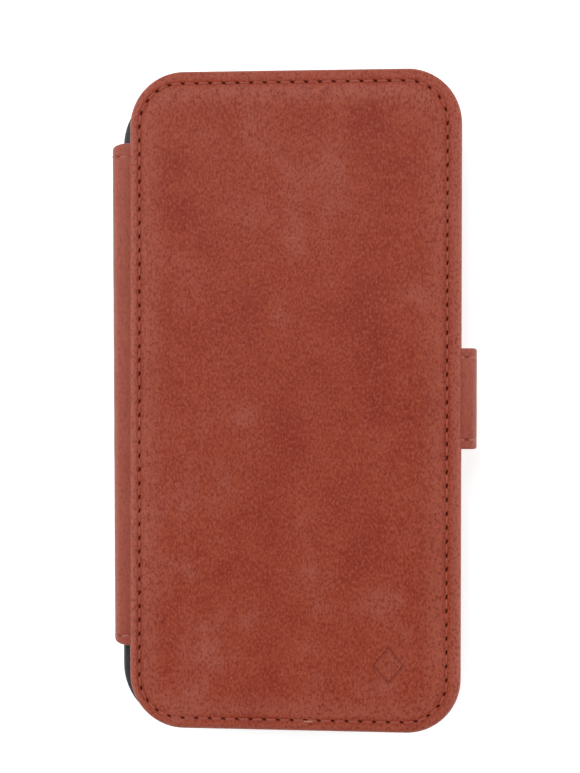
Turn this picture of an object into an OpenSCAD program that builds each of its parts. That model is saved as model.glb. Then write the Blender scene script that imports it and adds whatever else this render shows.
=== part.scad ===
// Phone wallet case: a hard tray for the phone, a leather spine, a padded front cover with card
// pockets inside, and a closing tab with a magnet. It is drawn closed and lying on its back:
// X runs to the right, Y to the top of the phone and Z from the back to the cover.
// The origin is at the bottom centre of the closed case.

/* [Phone] */
// Width of the phone that the tray holds
phone_w = 71.5; // [68:0.1:73]
// Length of the phone
phone_l = 146.7; // [143:0.1:149]
// Thickness of the phone
phone_t = 7.8; // [7.2:0.1:8.4]

/* [Tray] */
// Play around the phone
phone_play = 0.3; // [0.1:0.05:0.5]
// Thickness of the two long walls
wall_side = 2.45; // [2.3:0.05:2.6]
// Thickness of the two end walls
wall_end = 2.3; // [1.8:0.05:2.4]
// Thickness of the tray's floor
floor_t = 1.4; // [1:0.1:1.8]
// Radius of the tray's corners
tray_r = 14.1; // [13:0.1:15]
// Radius of the tray's back edge
tray_edge_r = 3; // [2.5:0.1:3.2]
// Height of the lip that holds the phone in
lip_t = 0.8; // [0.6:0.1:1]
// Overhang of that lip over the phone's face
lip_over = 0.8; // [0.5:0.1:1.2]
// Offset of the tray from the middle of the cover, across
tray_x = -3; // [-3.1:0.1:-2.8]
// Offset of the tray from the middle of the cover, along
tray_y = -1.25; // [-1.3:0.05:0]
// Thickness of the lining on the tray's floor
tray_lining_t = 0.4; // [0.3:0.1:0.6]

/* [Back] */
// Thickness of the leather on the back
back_t = 1.1; // [0.9:0.1:1.3]
// Margin between the back leather and the tray's outline
back_inset = 1.5; // [1:0.1:2]
// Width of the camera window
window_w = 34; // [30:1:36]
// Length of the camera window
window_l = 36; // [32:1:38]
// Radius of the camera window's corners
window_r = 8; // [5:0.5:10]
// Centre of the camera window from the tray's centre, across
window_x = 15.7; // [14:0.1:16]
// Centre of the camera window from the tray's centre, along
window_y = 52.8; // [51:0.1:53]
// Wall of the frame around the camera window
surround_wall = 1; // [0.8:0.1:1.2]
// Height at which that frame stops, above the surface that the case lies on
surround_raise = 0.3; // [0.2:0.1:0.6]

/* [Cover] */
// Width of the front cover
cover_w = 78; // [77:0.1:79]
// Length of the front cover
cover_l = 154.7; // [153:0.1:157]
// Radius of the cover's corners
cover_r = 12.8; // [11:0.1:14]
// Thickness of the cover's leather
cover_leather_t = 1.1; // [0.9:0.1:1.3]
// Thickness of the foam under it
foam_t = 1.1; // [0.8:0.1:1.5]
// Thickness of the stiffening board
board_t = 0.9; // [0.7:0.1:1.2]
// Thickness of the cover's lining
lining_t = 0.5; // [0.4:0.1:0.7]
// Width of the turned edge around the foam and the board
turned_edge = 3.4; // [3.2:0.1:4]
// Gap between the closed cover and the tray
close_gap = 0.4; // [0.3:0.1:0.8]

/* [Pockets] */
// Thickness of one pocket panel
panel_t = 0.5; // [0.4:0.1:0.6]
// Number of card pockets
cards = 3; // [3:1:3]
// Open edge of the cash pocket, from the middle of the cover
cash_edge = -28; // [-30:1:-24]
// Open edge of the first card pocket
card_edge = -17; // [-20:1:-15]
// Step from one card pocket's open edge to the next
card_step = 8; // [6:1:9]
// Distance between the two seams that bound the card pockets
card_span = 92; // [88:1:100]

/* [Spine] */
// Length of the spine
spine_l = 119; // [110:1:124]
// Centre of the spine along the cover
spine_y = 1.35; // [-2:0.05:3]
// Thickness of the spine, which is also the radius of its two rolls
spine_t = 1.3; // [1.2:0.05:1.35]
// Thickness of the spine's lining
spine_lining_t = 0.5; // [0.4:0.1:0.6]
// Distance from the cover's edge to the outside of the spine
spine_reach = 4.4; // [4.3:0.1:4.8]
// Distance of each fold's axis from the case's back or front face
fold_inset = 1.4; // [1.4:0.05:1.6]
// Distance of the two seams from the spine's ends
spine_seam = 2.7; // [2.5:0.1:5]

/* [Tab] */
// Distance from the cover's edge to the outside of the tab
tab_reach = 3.6; // [3.6:0.05:3.8]
// Width of the closing tab
tab_w = 23.5; // [20:0.5:28]
// Centre of the tab along the cover
tab_y = 0.7; // [-4:0.1:4]
// Radius of the roll that the tab folds on
tab_roll_r = 1.7; // [1.6:0.05:1.7]
// Height of the tab's fold axis
tab_fold_z = 15; // [14.8:0.1:15.2]
// Length of the tab below its fold axis
tab_l = 13.1; // [11:0.1:13.3]
// Angle at which the closed tab leans in to the tray
tab_lean = 18.5; // [16:0.5:19]
// Thickness of the tab's lining
tab_lining_t = 0.5; // [0.4:0.1:0.6]
// Radius of the tab's free corners
tab_corner_r = 3; // [2:0.5:5]

/* [Magnet] */
// Width of the magnet in the tab
magnet_w = 15; // [10:1:16]
// Height of the magnet
magnet_h = 6; // [4:0.5:6.5]
// Thickness of the magnet
magnet_t = 0.7; // [0.5:0.1:0.8]
// Width of the steel keeper plate in the tray's wall
keeper_w = 18; // [12:1:20]
// Height of the keeper plate
keeper_h = 6; // [4:0.5:6.5]
// Thickness of the keeper plate
keeper_t = 0.9; // [0.6:0.1:1]

/* [Buttons] */
// Length of a volume button
volume_l = 9.4; // [8:0.1:10]
// Length of the side button
side_l = 15.6; // [13:0.1:17]
// Height of a button
button_h = 2.8; // [2.4:0.1:3.2]
// Gap around a button
button_gap = 0.3; // [0.25:0.05:0.4]
// How far a button stands out of the wall
button_proud = 0.25; // [0.1:0.05:0.3]
// How far a button can be pressed
button_travel = 0.3; // [0.2:0.05:0.35]
// Place of the upper volume button from the tray's centre
volume_up_y = 28.8; // [26:0.1:30]
// Place of the lower volume button
volume_down_y = 15.8; // [14:0.1:17]
// Place of the side button
side_y = 27.3; // [25:0.1:30]
// Place of the mute switch's opening
mute_y = 42.3; // [41:0.1:44]

/* [Thread] */
// Width of a sewn thread
thread_w = 0.6; // [0.4:0.1:0.8]
// Depth of the groove that a thread lies in
groove_d = 0.3; // [0.2:0.05:0.4]
// Inset of the cover's seam at the spine
seam_left = 2.4; // [1.8:0.05:3]
// Inset of the cover's seam at the tab
seam_right = 3.3; // [2:0.05:3.4]
// Inset of the cover's seam at the top
seam_top = 2.9; // [2:0.05:3]
// Inset of the cover's seam at the bottom
seam_bottom = 2.6; // [2:0.05:3]
// Corner radius of the cover's seam
seam_r = 9.7; // [8:0.1:11]

/* [Hidden] */
$fn = 64;

// Heights of the layers, from the back to the front
z_shell = back_t;
z_floor = z_shell + floor_t;
z_tray = z_floor + tray_lining_t;
z_lip = z_tray + phone_t;
z_shell_top = z_lip + lip_t;
z_pockets = z_shell_top + close_gap;
z_lining = z_pockets + (cards + 1) * panel_t;
z_board = z_lining + lining_t;
z_foam = z_board + board_t;
z_leather = z_foam + foam_t;
z_top = z_leather + cover_leather_t;

// Tray sizes
shell_w = phone_w + 2 * (phone_play + wall_side);
shell_l = phone_l + 2 * (phone_play + wall_end);
cavity_w = phone_w + 2 * phone_play;
cavity_l = phone_l + 2 * phone_play;
cavity_r = tray_r - wall_side;
top_edge_r = 0.8;
layer = 0.01;
cut = 1;

// Frame around the camera window, and the collar that stands on the back of the tray
surround_w = window_w + 2 * surround_wall;
surround_l = window_l + 2 * surround_wall;
surround_r = window_r + surround_wall;
collar_wall = 1;
trim_gap = 0.3;

// Openings in the tray's walls
port_w = 13;
port_h = 5.4;
speaker_w = 11;
speaker_h = 2.4;
speaker_x = 17;
mute_w = 9;
mute_h = 5;
wall_mid_z = (z_tray + z_lip) / 2;

// Button flange, which keeps the button in the wall
flange_t = 0.6;
flange_rim = 0.8;
recess_d = flange_t + button_travel + 0.2;

// Fold axes
half_w = (cover_w + spine_reach + tab_reach) / 2;
cover_x = (spine_reach - tab_reach) / 2;
spine_out = -half_w;
fold_x = spine_out + spine_t;
fold_z_low = fold_inset;
fold_z_high = z_top - fold_inset;
spine_skin_t = spine_t - spine_lining_t;
seam_clear = 0.1;
tab_fold_x = half_w - tab_roll_r;
tab_in = -0.1;
tab_seam_inset = 1.6;

// Cover
cover_edge_step = 0.5;
lining_inset = 1;
pocket_inset = 1.6;

// Rounded rectangle, centred
module outline(w, l, r) {
  translate([-w / 2 + r, -l / 2]) square([w - 2 * r, l]);
  translate([-w / 2, -l / 2 + r]) square([w, l - 2 * r]);
  for (x = [-1, 1], y = [-1, 1])
    translate([x * (w / 2 - r), y * (l / 2 - r)]) circle(r = r);
}

// Rounded slab between two heights
module slab(w, l, r, z0, z1) {
  translate([0, 0, z0]) linear_extrude(z1 - z0) outline(w, l, r);
}

// Places its children at the centre of the cover
module at_cover() {
  translate([cover_x, 0, 0]) children();
}

// Slab of the cover's outline, drawn in from its edge
module cover_slab(inset, z0, z1) {
  slab(cover_w - 2 * inset, cover_l - 2 * inset, cover_r - inset, z0, z1);
}

// Places its children at the tray's centre
module at_tray() {
  translate([cover_x + tray_x, tray_y, 0]) children();
}

// Places its children at the centre of the camera window
module at_window() {
  translate([window_x, window_y, 0]) children();
}

// Pill-shaped bar that lies along Y and is deep along +X
module pill(l, h, depth) {
  rotate([90, 0, 90]) linear_extrude(depth) outline(l, h, h / 2 - layer);
}

// Section of the tray's outside from its middle to its wall, in X and Z: a rounded back edge and
// a softened top edge
module tray_section(reach) {
  h = z_shell_top - z_shell;
  translate([0, z_shell]) {
    square([reach - tray_edge_r, h]);
    translate([0, tray_edge_r]) square([reach - top_edge_r, h - tray_edge_r]);
    translate([0, tray_edge_r]) square([reach, h - tray_edge_r - top_edge_r]);
    translate([reach - tray_edge_r, tray_edge_r]) circle(r = tray_edge_r);
    translate([reach - top_edge_r, h - top_edge_r]) circle(r = top_edge_r);
  }
}

// Outside of the tray: a middle, two ends and four corners
module tray_body() {
  across = shell_w - 2 * tray_r;
  along = shell_l - 2 * tray_r;
  for (x = [0, 1]) mirror([x, 0, 0]) along_y(along) tray_section(shell_w / 2);
  for (y = [0, 1]) mirror([0, y, 0]) {
    translate([0, along / 2, 0]) rotate([0, 0, 90]) along_y(across) tray_section(tray_r);
    for (x = [0, 1]) mirror([x, 0, 0])
      translate([across / 2, along / 2, 0]) rotate_extrude(angle = 90) tray_section(tray_r);
  }
}

// Slot and flange recess for a button; side is -1 for the left wall and 1 for the right
module button_cut(y, l, side) {
  slot_l = l + 2 * button_gap;
  slot_h = button_h + 2 * button_gap;
  wide = 2 * flange_rim;
  depth = wall_side + 2 * cut;
  mirror([side < 0 ? 1 : 0, 0, 0])
    translate([cavity_w / 2, y, wall_mid_z]) {
      translate([-cut, 0, 0]) pill(slot_l, slot_h, depth);
      translate([-cut, 0, 0]) pill(slot_l + wide, slot_h + wide, recess_d + cut);
    }
}

// Button cap with its flange, as it sits in the wall
module button(y, l, side) {
  wide = 2 * flange_rim;
  flange_at = cavity_w / 2 + recess_d - flange_t - layer;
  at_tray() mirror([side < 0 ? 1 : 0, 0, 0]) {
    translate([flange_at, y, wall_mid_z]) pill(l + wide, button_h + wide, flange_t);
    translate([flange_at, y, wall_mid_z])
      pill(l, button_h, shell_w / 2 + button_proud - flange_at);
  }
}

module phone_shell() {
  color([0.25, 0.24, 0.26]) at_tray() difference() {
    tray_body();
    slab(cavity_w, cavity_l, cavity_r, z_floor, z_lip);
    slab(cavity_w - 2 * lip_over, cavity_l - 2 * lip_over, cavity_r - lip_over,
      z_lip - layer, z_shell_top + cut);
    at_window() slab(surround_w, surround_l, surround_r, 0, z_tray);
    button_cut(volume_up_y, volume_l, -1);
    button_cut(volume_down_y, volume_l, -1);
    button_cut(side_y, side_l, 1);
    translate([-shell_w / 2 - cut, mute_y, wall_mid_z]) pill(mute_w, mute_h, wall_side + 2 * cut);
    wall_slot(0, port_w, port_h);
    wall_slot(-speaker_x, speaker_w, speaker_h);
    wall_slot(speaker_x, speaker_w, speaker_h);
    keeper_block();
  }
}

// Rounded slot through the bottom end wall
module wall_slot(x, w, h) {
  translate([x, -shell_l / 2 - cut, wall_mid_z]) rotate([90, 0, 180])
    linear_extrude(wall_end + 2 * cut) outline(w, h, h / 2 - layer);
}

module keeper_block() {
  translate([cavity_w / 2, tab_y - tray_y - keeper_w / 2, wall_mid_z - keeper_h / 2])
    cube([keeper_t, keeper_w, keeper_h]);
}

module back_leather() {
  collar = 2 * (collar_wall + trim_gap);
  color([0.56, 0.27, 0.2]) at_tray() difference() {
    slab(shell_w - 2 * back_inset, shell_l - 2 * back_inset, tray_r - back_inset, 0, z_shell);
    at_window() slab(surround_w + collar, surround_l + collar, surround_r + collar / 2,
      -cut, z_shell + cut);
  }
}

module camera_surround() {
  color([0.12, 0.12, 0.13]) at_tray() at_window() difference() {
    union() {
      slab(surround_w, surround_l, surround_r, z_shell, z_floor);
      slab(surround_w + 2 * collar_wall, surround_l + 2 * collar_wall, surround_r + collar_wall,
        surround_raise, z_shell);
    }
    slab(window_w, window_l, window_r, 0, z_floor + cut);
  }
}

module tray_lining() {
  color([0.3, 0.3, 0.32]) at_tray() difference() {
    slab(cavity_w - 2 * trim_gap, cavity_l - 2 * trim_gap, cavity_r - trim_gap, z_floor, z_tray);
    at_window() slab(surround_w, surround_l, surround_r, z_floor - cut, z_tray + cut);
  }
}

module keeper_plate() {
  color([0.7, 0.7, 0.72]) at_tray() keeper_block();
}

module volume_up_button() {
  color([0.2, 0.2, 0.21]) button(volume_up_y, volume_l, -1);
}

module volume_down_button() {
  color([0.2, 0.2, 0.21]) button(volume_down_y, volume_l, -1);
}

module side_button() {
  color([0.2, 0.2, 0.21]) button(side_y, side_l, 1);
}

// Extrudes a section drawn in X and Z along Y, centred
module along_y(l) {
  rotate([90, 0, 0]) translate([0, 0, -l / 2]) linear_extrude(l) children();
}

// Threads of the spine's two seams
module spine_seams() {
  for (side = [-1, 1])
    translate([spine_out, spine_y + side * (spine_l / 2 - spine_seam) - thread_w / 2,
      fold_z_low + spine_t])
      cube([groove_d, thread_w, fold_z_high - fold_z_low - 2 * spine_t]);
}

module spine_leather() {
  color([0.61, 0.33, 0.27]) difference() {
    translate([0, spine_y, 0]) along_y(spine_l) {
      for (z = [fold_z_low, fold_z_high]) translate([fold_x, z]) circle(r = spine_t);
      translate([spine_out, fold_z_low]) square([spine_skin_t, fold_z_high - fold_z_low]);
    }
    spine_seams();
  }
}

module spine_lining() {
  foot = fold_z_low + spine_t + seam_clear;
  head = fold_z_high - spine_t - seam_clear;
  color([0.45, 0.22, 0.17]) translate([spine_out + spine_skin_t, spine_y - spine_l / 2, foot])
    cube([spine_lining_t, spine_l, head - foot]);
}

module spine_stitching() {
  color([0.6, 0.32, 0.25]) spine_seams();
}

// Ring of thread that follows the cover's seam
module cover_seam(z0, z1) {
  w = cover_w - seam_left - seam_right;
  l = cover_l - seam_top - seam_bottom;
  translate([(seam_left - seam_right) / 2, (seam_bottom - seam_top) / 2, 0]) difference() {
    slab(w + thread_w, l + thread_w, seam_r + thread_w / 2, z0, z1);
    slab(w - thread_w, l - thread_w, seam_r - thread_w / 2, z0 - cut, z1 + cut);
  }
}

module cover_leather() {
  color([0.57, 0.27, 0.2]) at_cover() difference() {
    union() {
      cover_slab(0, z_lining, z_top - cover_edge_step);
      cover_slab(cover_edge_step, z_top - cover_edge_step, z_top);
    }
    cover_slab(lining_inset, z_lining - cut, z_board);
    cover_slab(turned_edge, z_lining, z_leather);
    cover_seam(z_top - groove_d, z_top + cut);
  }
}

module cover_foam() {
  color([0.85, 0.82, 0.75]) at_cover() cover_slab(turned_edge, z_foam, z_leather);
}

module cover_board() {
  color([0.62, 0.55, 0.44]) at_cover() cover_slab(turned_edge, z_board, z_foam);
}

module cover_lining() {
  color([0.5, 0.25, 0.19]) at_cover() cover_slab(lining_inset, z_lining, z_board);
}

module cover_stitching() {
  color([0.6, 0.3, 0.23]) at_cover() cover_seam(z_top - groove_d, z_top);
}

// Open edge and underside of a panel: 0 is the cash pocket and 1 to cards are the card pockets
function panel_edge(i) = i == 0 ? cash_edge : card_edge + (i - 1) * card_step;
function panel_z(i) = z_lining - (i + 1) * panel_t;

// Thread across a panel's bare strip, at each end of the card pockets
module panel_seams(i) {
  right = i < cards ? panel_edge(i + 1) : cover_w / 2 - turned_edge;
  if (i > 0)
    for (side = [-1, 1])
      translate([panel_edge(i) + seam_clear, side * card_span / 2 - thread_w / 2, panel_z(i)])
        cube([right - panel_edge(i) - 2 * seam_clear, thread_w, panel_t / 2]);
}

module panel(i) {
  reach = cover_w / 2 - panel_edge(i);
  color([0.52 - 0.02 * i, 0.26 - 0.01 * i, 0.2 - 0.01 * i]) at_cover() difference() {
    intersection() {
      cover_slab(pocket_inset, panel_z(i), panel_z(i) + panel_t);
      translate([panel_edge(i), -cover_l / 2, panel_z(i)]) cube([reach, cover_l, panel_t]);
    }
    panel_seams(i);
  }
}

module cash_pocket() {
  panel(0);
}

module card_pocket_1() {
  panel(1);
}

module card_pocket_2() {
  panel(2);
}

module card_pocket_3() {
  panel(3);
}

module pocket_stitching() {
  color([0.6, 0.3, 0.23]) at_cover()
    for (i = [1 : cards]) panel_seams(i);
}

// Places its children on the tab's fold axis, leaning in as the closed tab does.
// There, X is the tab's thickness and the tab hangs down along -Z.
module at_tab() {
  translate([tab_fold_x, tab_y, tab_fold_z]) rotate([0, tab_lean, 0]) children();
}

// Outline of the hanging tab, drawn in from its edge, from one depth in X to another
module tab_plate(inset, x0, x1, head) {
  translate([x0, 0, 0]) rotate([90, 0, 90]) linear_extrude(x1 - x0) {
    translate([-tab_w / 2 + inset, -tab_l + tab_corner_r])
      square([tab_w - 2 * inset, tab_l - tab_corner_r - head]);
    translate([-tab_w / 2 + tab_corner_r, -tab_l + inset])
      square([tab_w - 2 * tab_corner_r, tab_corner_r]);
    for (side = [-1, 1])
      translate([side * (tab_w / 2 - tab_corner_r), -tab_l + tab_corner_r])
        circle(r = tab_corner_r - inset);
  }
}

module tab_magnet_block() {
  translate([tab_in + tab_lining_t, -magnet_w / 2, -tab_l + tab_corner_r])
    translate([0, 0, -magnet_h / 4]) cube([magnet_t, magnet_w, magnet_h]);
}

// U-shaped thread along the tab's edges
module tab_seam() {
  difference() {
    tab_plate(tab_seam_inset, tab_roll_r - groove_d, tab_roll_r, tab_roll_r);
    tab_plate(tab_seam_inset + thread_w, 0, tab_roll_r + cut, 0);
  }
}

module tab_leather() {
  color([0.59, 0.33, 0.28]) at_tab() difference() {
    union() {
      along_y(tab_w) circle(r = tab_roll_r);
      tab_plate(0, tab_in + tab_lining_t, tab_roll_r, 0);
    }
    tab_magnet_block();
    tab_seam();
  }
}

module tab_lining() {
  color([0.45, 0.22, 0.17]) at_tab()
    tab_plate(0, tab_in, tab_in + tab_lining_t, tab_roll_r + seam_clear);
}

module tab_magnet() {
  color([0.6, 0.6, 0.62]) at_tab() tab_magnet_block();
}

module tab_stitching() {
  color([0.6, 0.32, 0.25]) at_tab() tab_seam();
}

phone_shell();
back_leather();
camera_surround();
tray_lining();
keeper_plate();
volume_up_button();
volume_down_button();
side_button();
spine_leather();
spine_lining();
spine_stitching();
cover_leather();
cover_foam();
cover_board();
cover_lining();
cash_pocket();
card_pocket_1();
card_pocket_2();
card_pocket_3();
cover_stitching();
pocket_stitching();
tab_leather();
tab_lining();
tab_magnet();
tab_stitching();
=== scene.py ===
"""Looks of a phone wallet case: grained leather, sewn seams, padding, pockets and a moulded tray.

Lengths are in millimetres up to the moment a mesh is made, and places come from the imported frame.
X runs from the spine to the closing tab, Y to the top of the phone, Z from the back to the cover."""

import math

import bpy
import numpy as np
from mathutils import Matrix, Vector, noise


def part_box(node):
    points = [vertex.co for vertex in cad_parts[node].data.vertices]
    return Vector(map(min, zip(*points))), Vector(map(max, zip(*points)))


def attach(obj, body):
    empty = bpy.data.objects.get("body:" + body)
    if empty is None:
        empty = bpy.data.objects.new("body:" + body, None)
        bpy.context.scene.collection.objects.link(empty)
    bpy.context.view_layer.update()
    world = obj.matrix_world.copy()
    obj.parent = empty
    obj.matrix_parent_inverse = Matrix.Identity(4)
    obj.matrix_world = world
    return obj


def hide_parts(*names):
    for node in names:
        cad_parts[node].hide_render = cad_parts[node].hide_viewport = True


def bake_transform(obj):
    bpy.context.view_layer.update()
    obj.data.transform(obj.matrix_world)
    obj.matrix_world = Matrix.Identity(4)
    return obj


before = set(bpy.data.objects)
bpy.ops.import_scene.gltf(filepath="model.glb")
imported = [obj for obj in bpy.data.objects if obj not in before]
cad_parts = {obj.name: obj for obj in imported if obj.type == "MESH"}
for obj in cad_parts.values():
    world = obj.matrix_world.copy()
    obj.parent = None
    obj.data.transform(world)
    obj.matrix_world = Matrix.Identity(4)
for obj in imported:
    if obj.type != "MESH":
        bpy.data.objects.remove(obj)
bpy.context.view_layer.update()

MM = 0.001

# ---- sewing ----
STITCH = 3.25  # distance from one needle hole to the next
THREAD_W = 0.6  # width of a seam's thread in the frame
THREAD_HALF = (0.25, 0.16)  # half width and half height of a thread
THREAD_PLY = 1.1  # length over which the thread's two plies go once round
PLY_DEPTH = 0.13  # how far the plies stand out, as a share of the thread's half width
THREAD_ARCH, THREAD_SINK = 0.42, 0.32  # height of a stitch's arch, and how deep its ends dive
HOLE = (0.62, 0.23)  # half length and half width of a needle hole
HOLE_SLANT = math.radians(-8)  # turn of a hole out of the line of its seam
HOLE_DEPTH = 0.45
STRAP_HOLE_SHADE = 0.4  # how strongly the straps' needle holes are painted dark as shade, as a share of the cover's
GROOVE = (0.32, 0.1)  # half width and depth of the groove that a seam pulls in
THREAD_DIP = 0.42  # how far a stitch's visible thread stays from the middle of its holes
TANGENT = 0.05  # half the step that finds a seam's direction

# ---- camera, from the centre of the cover's foot ----
CAMERA_AT = (46.6, 10.4, 456.9)
CAMERA_YAW, CAMERA_PITCH, CAMERA_ROLL = -6.16, 0.9, -0.07  # degrees
LENS_TO_SENSOR = 2.45  # focal length as a multiple of the picture's height

# ---- colours, as display values from 0 to 255 ----
LEATHER_LIGHT = (156, 78, 61)
LEATHER_MID = (145, 57, 31)
LEATHER_DARK = (133, 43, 19)
# painted shade in the needle holes
HOLE_SHADE_COLOUR = (78, 6, 3)
PORE_COLOUR = (112, 27, 11)
# lighter colour painted on rims, padded shoulders and edges: a painted highlight where rounded leather
# catches the lamps, with some edge wear
HIGHLIGHT_AND_WEAR_COLOUR = (161, 84, 66)
# painted greyish sheen where a strap's face turns away at its outer bend, standing in for the grazing
# reflection there
FOLD_SHEEN_COLOUR = (136, 82, 70)
RAW_THREAD = (180, 104, 78)


def linear(rgb):
    """Display colour from 0 to 255 as the linear colour that a shader takes."""
    return tuple(
        c / 255 / 12.92 if c / 255 <= 0.04045 else ((c / 255 + 0.055) / 1.055) ** 2.4 for c in rgb
    ) + (1.0,)


def box_mm(node):
    """Lowest and highest corner of a CAD node, in millimetres."""
    low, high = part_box(node)
    return np.array(low) / MM, np.array(high) / MM


# ==== shapes ====


class Rect:
    """Rounded rectangle in X and Y, with one corner radius on its right and one on its left.

    A place on it is a leg from 0 to 7 and a share of that leg. The legs run anticlockwise: right side,
    upper right corner, top, upper left corner, left side, lower left corner, bottom, lower right corner."""

    def __init__(self, x0, y0, x1, y1, right_r, left_r=None):
        self.x0, self.y0, self.x1, self.y1 = x0, y0, x1, y1
        self.right_r = right_r
        self.left_r = right_r if left_r is None else left_r

    @classmethod
    def of_node(cls, node, radius):
        low, high = box_mm(node)
        return cls(low[0], low[1], high[0], high[1], radius)

    def inset(self, d):
        right_r, left_r = (max(r - d, 0.05) for r in (self.right_r, self.left_r))
        return Rect(self.x0 + d, self.y0 + d, self.x1 - d, self.y1 - d, right_r, left_r)

    def straights(self):
        x0, y0, x1, y1, rr, lr = self.x0, self.y0, self.x1, self.y1, self.right_r, self.left_r
        return {
            0: ((x1, y0 + rr), (x1, y1 - rr)),
            2: ((x1 - rr, y1), (x0 + lr, y1)),
            4: ((x0, y1 - lr), (x0, y0 + lr)),
            6: ((x0 + lr, y0), (x1 - rr, y0)),
        }

    def corners(self):
        x0, y0, x1, y1, rr, lr = self.x0, self.y0, self.x1, self.y1, self.right_r, self.left_r
        return {
            1: ((x1 - rr, y1 - rr), rr),
            3: ((x0 + lr, y1 - lr), lr),
            5: ((x0 + lr, y0 + lr), lr),
            7: ((x1 - rr, y0 + rr), rr),
        }

    def legs(self):
        """Length of each leg."""
        found = {k: math.dist(a, b) for k, (a, b) in self.straights().items()}
        found.update({k: r * math.pi / 2 for k, (_, r) in self.corners().items()})
        return np.array([found[k] for k in range(8)])

    def length(self):
        return float(self.legs().sum())

    def area(self):
        cut_corners = (2 - math.pi / 2) * (self.right_r**2 + self.left_r**2)
        return (self.x1 - self.x0) * (self.y1 - self.y0) - cut_corners

    def place(self, s):
        """Legs and shares at the lengths s along the outline, from the middle of the right side."""
        legs = self.legs()
        ends = np.cumsum(legs)
        s = (np.asarray(s, float) + legs[0] / 2) % ends[-1]
        leg = np.clip(np.searchsorted(ends, s, side="right"), 0, 7)
        return leg, (s - (ends[leg] - legs[leg])) / np.maximum(legs[leg], 1e-9)

    def points(self, place):
        leg, share = place
        out = np.zeros((len(leg), 2))
        for k, (a, b) in self.straights().items():
            on = leg == k
            out[on] = np.array(a) + share[on, None] * (np.array(b) - np.array(a))
        for k, (centre, r) in self.corners().items():
            on = leg == k
            turn = (share[on] + (k - 1) / 2) * math.pi / 2
            out[on] = np.array(centre) + r * np.stack([np.cos(turn), np.sin(turn)], 1)
        return out

    def spine_points(self, xy):
        """For each point, where it ends up if the outline shrinks on to the rectangle's middle line."""
        half = (self.x1 - self.x0) / 2
        y = np.clip(xy[:, 1], self.y0 + half, self.y1 - half)
        return np.stack([np.full(len(xy), self.x0 + half), y], 1)


def raised(xy, z):
    """Points in X and Y with a height each."""
    return np.column_stack([xy, np.broadcast_to(z, len(xy))])


def loft_faces(rings, n):
    """Quads between neighbouring closed rings of n points."""
    j = np.arange(n)
    k = (j + 1) % n
    return [
        quad
        for i in range(rings - 1)
        for quad in np.stack([i * n + j, i * n + k, (i + 1) * n + k, (i + 1) * n + j], 1).tolist()
    ]


def closing_faces(first, n, flip):
    """Faces that close a narrow ring across its middle line. n is a multiple of 4."""
    out = []
    for k in range(-n // 4, n // 4):
        ids = [k % n, (k + 1) % n, (n // 2 - k - 1) % n, (n // 2 - k) % n]
        ids = [v for i, v in enumerate(ids) if v not in ids[:i]]
        ids = [first + v for v in ids]
        out.append(ids[::-1] if flip else ids)
    return out


def make(name, points, faces, material, marks=None):
    """A smooth-shaded mesh object from points in millimetres. marks are named values, one per point."""
    mesh = bpy.data.meshes.new(name)
    mesh.from_pydata((np.asarray(points, float) * MM).tolist(), [], faces)
    mesh.validate()
    for key, values in (marks or {}).items():
        layer = mesh.attributes.new(key, "FLOAT", "POINT")
        layer.data.foreach_set("value", np.asarray(values, np.float32))
    mesh.polygons.foreach_set("use_smooth", [True] * len(mesh.polygons))
    mesh.materials.append(material)
    piece = bpy.data.objects.new(name, mesh)
    bpy.context.scene.collection.objects.link(piece)
    return piece


class Rings:
    """Closed rings of n points that are lofted into a piece, with the named marks that they carry."""

    def __init__(self, n, *marks):
        self.n, self.rings = n, []
        self.marks = {key: [] for key in marks}

    def add(self, xy, z, **marks):
        self.rings.append(raised(xy, z))
        for key, values in self.marks.items():
            values.append(np.broadcast_to(marks.get(key, 0.0), self.n))

    def piece(self, name, material, faces):
        marks = {key: np.concatenate(values) for key, values in self.marks.items()}
        return make(name, np.vstack(self.rings), faces, material, marks)

    def capped(self, name, material):
        """The piece, with its first and last ring closed across their middle lines."""
        last = (len(self.rings) - 1) * self.n
        faces = closing_faces(0, self.n, True) + loft_faces(len(self.rings), self.n)
        return self.piece(name, material, faces + closing_faces(last, self.n, False))

    def looped(self, name, material):
        """The piece, with its last ring joined to its first."""
        last = (len(self.rings) - 1) * self.n
        j = np.arange(self.n)
        k = (j + 1) % self.n
        joint = np.stack([last + j, last + k, k, j], 1).tolist()
        return self.piece(name, material, loft_faces(len(self.rings), self.n) + joint)


def fine_noise(points, size, seed):
    """Smooth noise from about -1 to 1 at each point, with features of the given size."""
    return np.array([noise.noise((x / size + seed, y / size, z / size)) for x, y, z in points])


def ease(t):
    t = np.clip(t, 0, 1)
    return t * t * (3 - 2 * t)


def needle_mark(along, across):
    """1 in a needle hole and 0 away from it."""
    a = along * math.cos(HOLE_SLANT) + across * math.sin(HOLE_SLANT)
    b = across * math.cos(HOLE_SLANT) - along * math.sin(HOLE_SLANT)
    return np.exp(-((a / HOLE[0]) ** 4) - (b / HOLE[1]) ** 4)


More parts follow.
